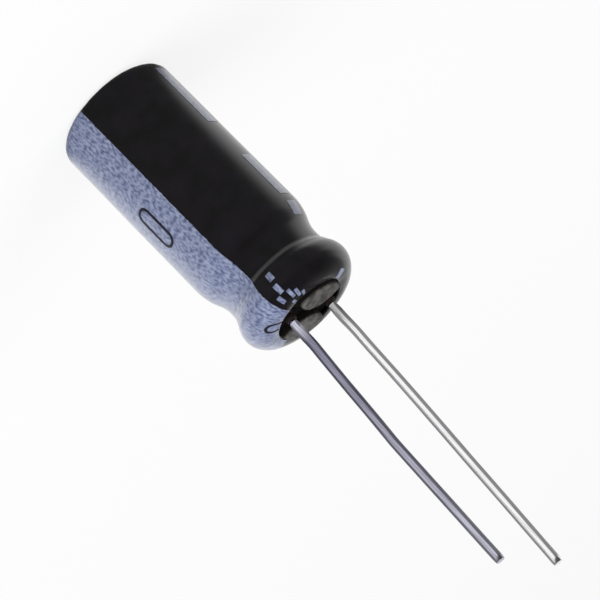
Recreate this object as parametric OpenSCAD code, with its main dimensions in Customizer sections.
// Radial aluminium electrolytic capacitor, standing on its vented head with both leads up.
// Millimetres. The origin is the middle of the ring that it stands on, and +Z runs up the
// body's axis, through the rubber bung and out along the leads. The anode (plus) lead is on
// the +X side and the cathode (minus) lead on the -X side.

/* [Can] */
// Outer diameter of the drawn can
can_d = 8.0; // [7.8:0.1:8.6]
// Wall and head thickness of the can
can_t = 0.25; // [0.2:0.01:0.28]
// Height of the finished can, from its head to the top of its bead
can_h = 18.25; // [17.5:0.25:20]
// Outer radius where the side turns into the head
corner_r = 0.45; // [0.35:0.05:0.7]
// How deep the rolled groove goes below the side
groove_depth = 0.57; // [0.4:0.05:0.7]
// Radius of the hollow of the groove
groove_r = 2.75; // [2:0.25:3]
// Radius of the shoulder that leads down into the groove
shoulder_r = 3.65; // [3:0.25:4]
// How far the outside of the bead above the groove lies inside the side
bead_inset = 0.03; // [0:0.01:0.1]
// Radius of the bead in section
bead_r = 1.2; // [1.15:0.05:1.3]
// Angle above the horizontal at which the bead turns into the rim's curl
curl_from = 60; // [50:5:65]
// Inner radius of the rim's curl
curl_r = 0.175; // [0.15:0.025:0.2]
// Length of each line of the cross that is scored into the head as a vent
vent_l = 4.6; // [3:0.2:5.4]
// Depth of the scored lines
vent_depth = 0.12; // [0.08:0.01:0.16]

/* [Sleeve] */
// Thickness of the shrunk plastic sleeve
sleeve_t = 0.15; // [0.1:0.01:0.2]
// How far the sleeve turns in over the head, from the can's side
head_turn_in = 0.8; // [0.6:0.05:1]
// How far the sleeve turns in over the bead, from the can's side
end_turn_in = 1.5; // [1.35:0.05:1.55]

/* [Print] */
// Width of the polarity stripe, as an angle round the body
stripe_angle = 64; // [40:2:80]
// How far the stripe's middle is turned from the cathode lead
stripe_turn = 9; // [-20:1:20]
// How far the minus marks are turned back from the stripe's middle
mark_turn = 3; // [-6:1:6]
// Thickness of one layer of print
ink_t = 0.02; // [0.015:0.005:0.03]
// Length of a minus mark
mark_l = 3.2; // [2.4:0.1:4]
// Width of a minus mark
mark_w = 1.2; // [0.9:0.1:1.5]
// Width of the line that draws a minus mark
mark_line = 0.2; // [0.15:0.01:0.25]
// Height of the middle of the mark on the side
mark_z = 8.8; // [6:0.2:10]
// How far inside the can's side the mark on the bead ends
end_mark_inset = 0.38; // [0.3:0.02:0.7]

/* [Bung] */
// Height of the bung, from its foot to the face that its pads stand on
bung_h = 4.1; // [3.6:0.1:4.4]
// How far the bung's face lies below the top of the can
face_drop = 0.15; // [0.1:0.05:0.25]
// Height of the two pads that stand on the bung's face
pad_h = 0.62; // [0.5:0.02:0.7]
// Gap between the sleeve's opening and the pads' outer sides
pad_gap = 0.15; // [0.1:0.05:0.35]
// Radius of each pad's inner side, which bulges towards the other pad
pad_bulge_r = 1.95; // [1.8:0.05:2.1]
// Width of the channel between the pads, where it is narrowest
channel_w = 0.64; // [0.5:0.02:0.9]
// Rounding of the pads' top edges
pad_edge_r = 0.25; // [0.1:0.05:0.3]
// Clearance between the rim's curl and the rubber beside it
curl_gap = 0.03; // [0.02:0.01:0.05]

/* [Leads] */
// How far the axis of each lead lies inside the can's side
lead_inset = 2.25; // [2.1:0.05:2.4]
// Diameter of the tinned lead wire
lead_d = 0.6; // [0.5:0.05:0.65]
// Whole length of the anode lead's wire
anode_lead_l = 21.5; // [16:0.1:30]
// Whole length of the cathode lead's wire
cathode_lead_l = 19.6; // [16:0.1:30]
// Straight stub of each wire before its first bend
stub_l = 1.5; // [1:0.1:3]
// Compass direction of the leads' lean, measured from +X
lean_dir = 226; // [0:1:360]
// Lean of the anode lead
anode_lean = 3.6; // [1:0.1:8]
// Radius of the soft bend in the anode lead
anode_bend_r = 20; // [8:1:24]
// Lean of the cathode lead
cathode_lean = 5; // [3:0.1:8]
// Radius of the cathode lead's bends
cathode_bend_r = 9; // [4:1:20]
// Height up the cathode lead, from its first bend to the kink that turns it part way back
kink_l = 7.4; // [4:0.1:12]
// Angle by which the kink turns the cathode lead back
kink_angle = 2.7; // [1:0.1:4]

/* [Terminals] */
// Diameter of the aluminium stems that the bung grips
stem_d = 1.2; // [1.1:0.05:1.3]
// Thickness of the paddle that is pressed from each stem
paddle_t = 0.2; // [0.15:0.01:0.25]
// Width of the paddles
paddle_w = 1.6; // [1.3:0.05:1.8]
// Length of the paddles inside the winding
paddle_l = 9; // [6:0.5:10.5]
// How far the stems stand out of the bung's face, up to the weld bead
stem_proud = 0.1; // [0.05:0.05:0.2]
// Radius of the weld bead between stem and wire
weld_r = 0.36; // [0.35:0.01:0.42]

/* [Winding] */
// Height of the winding, over its paper separators
winding_h = 12.0; // [10.5:0.25:12.4]
// Gap between the can's head and the winding
foot_gap = 0.3; // [0.2:0.05:0.5]
// Gap between the winding and the can's side
side_gap = 0.12; // [0.08:0.02:0.2]
// Smallest radius of the hole that the winding mandrel left
core_min = 0.65; // [0.6:0.05:0.8]
// Thickness of the etched anode foil
anode_t = 0.10; // [0.08:0.01:0.11]
// Thickness of the cathode foil
cathode_t = 0.05; // [0.04:0.01:0.06]
// Thickness of each paper separator
paper_t = 0.05; // [0.04:0.01:0.06]
// Thickness of the tape that closes the winding
tape_t = 0.05; // [0.04:0.01:0.06]
// Clearance between neighbouring layers
layer_gap = 0.02; // [0.015:0.005:0.025]
// How far the paper stands out past the foil at each end
paper_margin = 0.4; // [0.2:0.05:0.6]
// Height of the closing tape
tape_h = 9; // [6:0.5:10]

/* [Hidden] */

round_fn = 96;
wire_fn = 32;
margin = 1;

// Straight steps along the arcs of the profiles
corner_steps = 6;
shoulder_steps = 6;
groove_steps = 10;
bead_steps = 14;
edge_steps = 4;
mark_steps = 16;

// The print stops this high above the floor, where the head's corner turns under.
print_lift = 0.045;

// The can's profile is one chain of tangent arcs: head corner, shoulder, groove and bead.
can_r = can_d / 2;
head_z = sleeve_t;
top_z = head_z + can_h;
groove_bottom_r = can_r - groove_depth;
bead_x = can_r - bead_inset - bead_r;
bead_z = top_z - bead_r;
rise_in = groove_depth - bead_inset;
rise = sqrt(2 * rise_in * (groove_r + bead_r) - rise_in * rise_in);
groove_z = bead_z - rise;
fall = sqrt(2 * groove_depth * (shoulder_r + groove_r) - groove_depth * groove_depth);
shoulder_z = groove_z - fall;
fall_angle = asin(fall / (shoulder_r + groove_r));
rise_angle = asin(rise / (groove_r + bead_r));

// Openings that the sleeve leaves on the head and around the bung
head_open_r = can_r - head_turn_in;
end_open_r = can_r - end_turn_in;

// Distance between the two leads
lead_pitch = can_d - 2 * lead_inset;

// The rim's curl continues the bead's wall on a tighter circle and turns down into the rubber.
curl_outer = curl_r + can_t;
curl_x = bead_x + (bead_r - curl_outer) * cos(curl_from);
curl_z = bead_z + (bead_r - curl_outer) * sin(curl_from);

// Levels of the bung, the welds and the winding
face_z = top_z - face_drop;
bung_foot_z = face_z - bung_h;
neck_r = curl_x - curl_outer - curl_gap;
pad_top_z = face_z + pad_h;
stem_top_z = face_z + stem_proud;
weld_z = stem_top_z + weld_r * 2 / 3;
wire_z = weld_z + sqrt(weld_r * weld_r - lead_d * lead_d / 4);
inner_r = can_r - can_t;
winding_z = head_z + can_t + foot_gap;
winding_top_z = winding_z + winding_h;
press_z = (winding_top_z + bung_foot_z) / 2;

// The winding repeats four layers, from the inside out. The paper comes first, so that
// a foil never lies on the other foil.
INNER_PAPER = 0;
ANODE = 1;
OUTER_PAPER = 2;
CATHODE = 3;
anode_at = paper_t + layer_gap;
outer_paper_at = anode_at + anode_t + layer_gap;
cathode_at = outer_paper_at + paper_t + layer_gap;
wind_pitch = cathode_at + cathode_t + layer_gap;
layer_at = [0, anode_at, outer_paper_at, cathode_at];
paddle_room = paddle_t + layer_gap;
tape_step = tape_t + layer_gap;

// What the paddles, the last half turn of paper and the tape add to the radius
winding_r = inner_r - side_gap;
wrap_room = wind_pitch / 4 + paddle_room + paper_t + layer_gap + tape_step + tape_t;
turns = floor((winding_r - core_min - wrap_room) / wind_pitch);
core_r = floor((winding_r - wrap_room - turns * wind_pitch) * 100) / 100;
winding_shift = wind_pitch / 4;
last_paper = 2 * turns;

// The turn after which each paddle lies, so that it comes nearest to its stem
anode_turn = round((lead_pitch / 2 - winding_shift - core_r - anode_at - anode_t
    - layer_gap - paddle_t / 2) / wind_pitch);
cathode_turn = round((lead_pitch / 2 + winding_shift - core_r - cathode_at - cathode_t
    - layer_gap - paddle_t / 2) / wind_pitch - 0.5);

// Points along an arc about [x, z], from one angle to another
function arc(x, z, r, from, to, steps) =
    [for (i = [0:steps]) let (a = from + (to - from) * i / steps) [x + r * cos(a), z + r * sin(a)]];

// The line that lies a distance "out" outside the can's outer face, from its head up to
// where the bead turns into the rim's curl
function wall_line(out) = concat(
    arc(can_r - corner_r, head_z + corner_r, corner_r + out, -90, 0, corner_steps),
    arc(can_r - shoulder_r, shoulder_z, shoulder_r + out, 0, fall_angle, shoulder_steps),
    arc(groove_bottom_r + groove_r, groove_z, groove_r - out,
        180 + fall_angle, 180 - rise_angle, groove_steps),
    arc(bead_x, bead_z, bead_r + out, -rise_angle, curl_from, bead_steps)
);

// The same line carried on over the top of the bead and in to the sleeve's opening
function sleeve_line(out) = concat(
    wall_line(out),
    arc(bead_x, bead_z, bead_r + out, curl_from, 90, corner_steps),
    [[end_open_r, top_z + out]]
);

// The stretch of a line that lies above a height
function above(points, z) = [for (p = points) if (p[1] > z) p];

function reversed(points) = [for (i = [len(points) - 1:-1:0]) points[i]];
function swapped(points) = [for (p = points) [p[1], p[0]]];

// Radius at which a layer crosses the X axis after "half" half turns: on the +X side when
// that number is even, and on the -X side when it is odd. Layers outside a paddle make room for it.
function order_of(layer, half) = 4 * floor(half / 2) + layer;
function paddle_order(half) = half % 2 == 0 ? 4 * anode_turn + ANODE : 4 * cathode_turn + CATHODE;
function crossing(layer, half) = core_r + layer_at[layer] + wind_pitch * half / 2
    + (order_of(layer, half) > paddle_order(half) ? paddle_room : 0);

// The tape starts on the last paper and then lies on itself.
function tape_crossing(half) = crossing(INNER_PAPER, last_paper + half % 2)
    + paper_t + layer_gap + floor(half / 2) * tape_step;

// Sector of a ring from radius r to r + thick, centred on the X axis at x
module ring_sector(x, r, thick, from, angle, z, height) {
    translate([x, 0, z])
        rotate_extrude(start = from, angle = angle, $fn = round_fn)
            translate([r, 0]) square([thick, height]);
}

// Half a turn of a strip: it leaves the X axis at radius r0, on +X when "half" is even, and
// comes back to it on the other side at radius r1.
module half_turn(half, r0, r1, thick, z, height) {
    side = half % 2 == 0 ? 1 : -1;
    ring_sector(side * (r0 - r1) / 2, (r0 + r1) / 2, thick, half % 2 == 0 ? 0 : 180, 180, z, height);
}

module layer_strip(layer, thick, first, last, z, height) {
    translate([winding_shift, 0, 0])
        for (half = [first:last])
            half_turn(half, crossing(layer, half), crossing(layer, half + 1), thick, z, height);
}

// Paddle along the outer face of a foil, centred on the point where it crosses the X axis
module paddle(layer, foil_t, half) {
    add = foil_t + layer_gap;
    r_before = (crossing(layer, half - 1) + crossing(layer, half)) / 2 + add;
    r_after = (crossing(layer, half) + crossing(layer, half + 1)) / 2 + add;
    side = half % 2 == 0 ? 1 : -1;
    start = half % 2 == 0 ? 0 : 180;
    x_before = side * (crossing(layer, half) - crossing(layer, half - 1)) / 2;
    x_after = side * (crossing(layer, half) - crossing(layer, half + 1)) / 2;
    spread = asin(paddle_w / 2 / (crossing(layer, half) + add));
    foot_z = winding_top_z - paddle_l;
    height = press_z + paddle_t - foot_z;
    translate([winding_shift, 0, 0]) {
        ring_sector(x_before, r_before, paddle_t, start - spread, spread, foot_z, height);
        ring_sector(x_after, r_after, paddle_t, start, spread, foot_z, height);
    }
}

// Rod that the bung grips. Its lower end is pressed flat towards the paddle at x = paddle_x,
// and its upper end is tapered up to the weld bead.
module stem(x, paddle_x) {
    taper_h = stem_d / 3;
    press_h = bung_foot_z - press_z;
    translate([x, 0, 0]) {
        translate([0, 0, bung_foot_z])
            cylinder(d = stem_d, h = stem_top_z - taper_h - bung_foot_z, $fn = round_fn);
        translate([0, 0, stem_top_z - taper_h])
            cylinder(d1 = stem_d, d2 = lead_d, h = taper_h, $fn = round_fn);
        intersection() {
            translate([0, 0, press_z])
                cylinder(d = stem_d, h = press_h, $fn = round_fn);
            rotate([90, 0, 0])
                linear_extrude(height = 2 * stem_d, center = true)
                    polygon([
                        [paddle_x - x - paddle_t / 2, press_z],
                        [paddle_x - x + paddle_t / 2, press_z],
                        [stem_d / 2, bung_foot_z],
                        [-stem_d / 2, bung_foot_z]
                    ]);
        }
        weld_bead();
    }
}

// Bead between the stem's tip and the wire, flat where the wire stands on it
module weld_bead() {
    intersection() {
        translate([0, 0, weld_z]) sphere(r = weld_r, $fn = wire_fn);
        translate([0, 0, stem_top_z])
            cylinder(r = 2 * weld_r, h = wire_z - stem_top_z, $fn = round_fn);
    }
}

// Wire of several runs, each [straight length, direction of the bend after it, angle, radius]
module wire(runs, i = 0) {
    if (i < len(runs)) {
        length = runs[i][0];
        direction = runs[i][1];
        angle = runs[i][2];
        bend_r = runs[i][3];
        cylinder(d = lead_d, h = length, $fn = wire_fn);
        if (angle > 0)
            translate([0, 0, length]) rotate([0, 0, direction]) {
                translate([bend_r, 0, 0]) rotate([90, 0, 0])
                    rotate_extrude(start = 180 - angle, angle = angle, $fn = 4 * round_fn)
                        translate([bend_r, 0]) circle(d = lead_d, $fn = wire_fn);
                translate([bend_r * (1 - cos(angle)), 0, bend_r * sin(angle)])
                    rotate([0, angle, 0]) rotate([0, 0, -direction]) wire(runs, i + 1);
            }
    }
}

function bend_length(angle, bend_r) = bend_r * angle * PI / 180;

// Outline of a rounded oblong, long along X
function oblong(length, width) = concat(
    arc((length - width) / 2, 0, width / 2, -90, 90, mark_steps),
    arc((width - length) / 2, 0, width / 2, 90, 270, mark_steps)
);

// The same outline where the film has shrunk in over the bead: its length lies along the
// radius, and its width keeps the angle that it has on the side.
function drawn_in(points) = [
    for (p = points) let (
        r = can_r - end_mark_inset - mark_l / 2 + p[0],
        a = p[1] / (can_r + sleeve_t) * 180 / PI
    ) [r * cos(a), r * sin(a)]
];

// Section of a layer of print that lies a distance "out" outside the can, above a height
module print_section(out, z) {
    polygon(concat(above(sleeve_line(out), z), reversed(above(sleeve_line(out + ink_t), z))));
}

module sleeve() color("#201e20") {
    rotate_extrude($fn = round_fn)
        polygon(concat(
            [[head_open_r, head_z]], sleeve_line(0),
            reversed(sleeve_line(sleeve_t)), [[head_open_r, 0]]
        ));
}

module polarity_stripe() color("#99a2bf") {
    rotate([0, 0, 180 + stripe_turn])
        rotate_extrude(start = -stripe_angle / 2, angle = stripe_angle, $fn = round_fn)
            print_section(sleeve_t, print_lift);
}

// One minus mark lies on the side, and one on the bead, cut off by the sleeve's opening.
module polarity_marks() color("#201e20") {
    stripe_out = sleeve_t + ink_t;
    outer = oblong(mark_l, mark_w);
    inner = oblong(mark_l - 2 * mark_line, mark_w - 2 * mark_line);
    rotate([0, 0, 180 + stripe_turn - mark_turn]) {
        intersection() {
            difference() {
                cylinder(r = can_r + stripe_out + ink_t, h = shoulder_z, $fn = round_fn);
                translate([0, 0, -margin])
                    cylinder(r = can_r + stripe_out, h = shoulder_z + 2 * margin, $fn = round_fn);
            }
            translate([0, 0, mark_z]) rotate([0, 90, 0])
                linear_extrude(height = can_d) difference() {
                    polygon(outer);
                    polygon(inner);
                }
        }
        intersection() {
            rotate_extrude($fn = round_fn) print_section(stripe_out, bead_z);
            translate([0, 0, bead_z])
                linear_extrude(height = 2 * bead_r) difference() {
                    polygon(drawn_in(outer));
                    polygon(drawn_in(inner));
                }
        }
    }
}

module can() color("#c9ccd1") {
    difference() {
        rotate_extrude($fn = round_fn)
            polygon(concat(
                [[0, head_z]], wall_line(0),
                arc(curl_x, curl_z, curl_outer, curl_from, 180, bead_steps),
                arc(curl_x, curl_z, curl_r, 180, curl_from, bead_steps),
                reversed(wall_line(-can_t)), [[0, head_z + can_t]]
            ));
        for (turn = [0, 90]) translate([0, 0, head_z]) rotate([0, 90, turn])
            cylinder(r = vent_depth, h = vent_l, center = true, $fn = 4);
    }
}

// Lens-shaped pad: its outer side is round about the body's axis, and its inner side is
// round about a point at y, so that the channel widens towards both leads
module pad(y, height) {
    intersection() {
        rounded_disc(end_open_r - pad_gap, height);
        translate([0, y, 0]) rounded_disc(pad_bulge_r, height);
    }
}

module rounded_disc(r, height) {
    rotate_extrude($fn = round_fn)
        polygon(concat(
            [[0, 0], [r, 0]],
            arc(r - pad_edge_r, height - pad_edge_r, pad_edge_r, 0, 90, edge_steps),
            [[0, height]]
        ));
}

module bung() color("#4a4847") {
    // Between the foot and the rim's cut edge the rubber fills the can from wall to wall.
    seat = wall_line(-can_t);
    seat_r = swapped(seat);
    difference() {
        union() {
            rotate_extrude($fn = round_fn)
                polygon(concat(
                    [[0, bung_foot_z], [lookup(bung_foot_z, seat_r), bung_foot_z]],
                    [for (p = seat) if (p[1] > bung_foot_z && p[1] < curl_z) p],
                    [[lookup(curl_z, seat_r), curl_z], [neck_r, curl_z], [neck_r, face_z], [0, face_z]]
                ));
            translate([0, 0, curl_z])
                for (side = [-1, 1]) pad(side * (channel_w / 2 + pad_bulge_r), pad_top_z - curl_z);
        }
        for (side = [-1, 1]) translate([side * lead_pitch / 2, 0, bung_foot_z - margin])
            cylinder(d = stem_d, h = bung_h + 2 * margin, $fn = round_fn);
    }
}

module anode_terminal() color("#d4d6da") {
    foil_face = crossing(ANODE, 2 * anode_turn) + anode_t + layer_gap;
    stem(lead_pitch / 2, winding_shift + foil_face + paddle_t / 2);
    paddle(ANODE, anode_t, 2 * anode_turn);
}

module cathode_terminal() color("#d4d6da") {
    foil_face = crossing(CATHODE, 2 * cathode_turn + 1) + cathode_t + layer_gap;
    stem(-lead_pitch / 2, winding_shift - foil_face - paddle_t / 2);
    paddle(CATHODE, cathode_t, 2 * cathode_turn + 1);
}

module anode_lead() color("#d9d9e0") {
    rest = anode_lead_l - stub_l - bend_length(anode_lean, anode_bend_r);
    translate([lead_pitch / 2, 0, wire_z])
        wire([[stub_l, lean_dir, anode_lean, anode_bend_r], [rest, 0, 0, 0]]);
}

module cathode_lead() color("#d9d9e0") {
    rest = cathode_lead_l - stub_l - kink_l - bend_length(cathode_lean, cathode_bend_r)
        - bend_length(kink_angle, cathode_bend_r);
    translate([-lead_pitch / 2, 0, wire_z])
        wire([
            [stub_l, lean_dir, cathode_lean, cathode_bend_r],
            [kink_l, lean_dir + 180, kink_angle, cathode_bend_r],
            [rest, 0, 0, 0]
        ]);
}

module anode_foil() color("#8e9299") {
    layer_strip(ANODE, anode_t, 1, last_paper - 3,
        winding_z + paper_margin, winding_h - 2 * paper_margin);
}

module cathode_foil() color("#c2c5ca") {
    layer_strip(CATHODE, cathode_t, 0, last_paper - 2,
        winding_z + paper_margin, winding_h - 2 * paper_margin);
}

module inner_separator() color("#d8c8a0") {
    layer_strip(INNER_PAPER, paper_t, 0, last_paper, winding_z, winding_h);
}

module outer_separator() color("#cdbb90") {
    layer_strip(OUTER_PAPER, paper_t, 0, last_paper - 2, winding_z, winding_h);
}

module winding_tape() color("#b9a46a") {
    translate([winding_shift, 0, 0])
        for (half = [0:2])
            half_turn(half, tape_crossing(half), tape_crossing(half + 1), tape_t,
                winding_z + (winding_h - tape_h) / 2, tape_h);
}

sleeve();
polarity_stripe();
polarity_marks();
can();
bung();
anode_terminal();
cathode_terminal();
anode_lead();
cathode_lead();
anode_foil();
cathode_foil();
inner_separator();
outer_separator();
winding_tape();
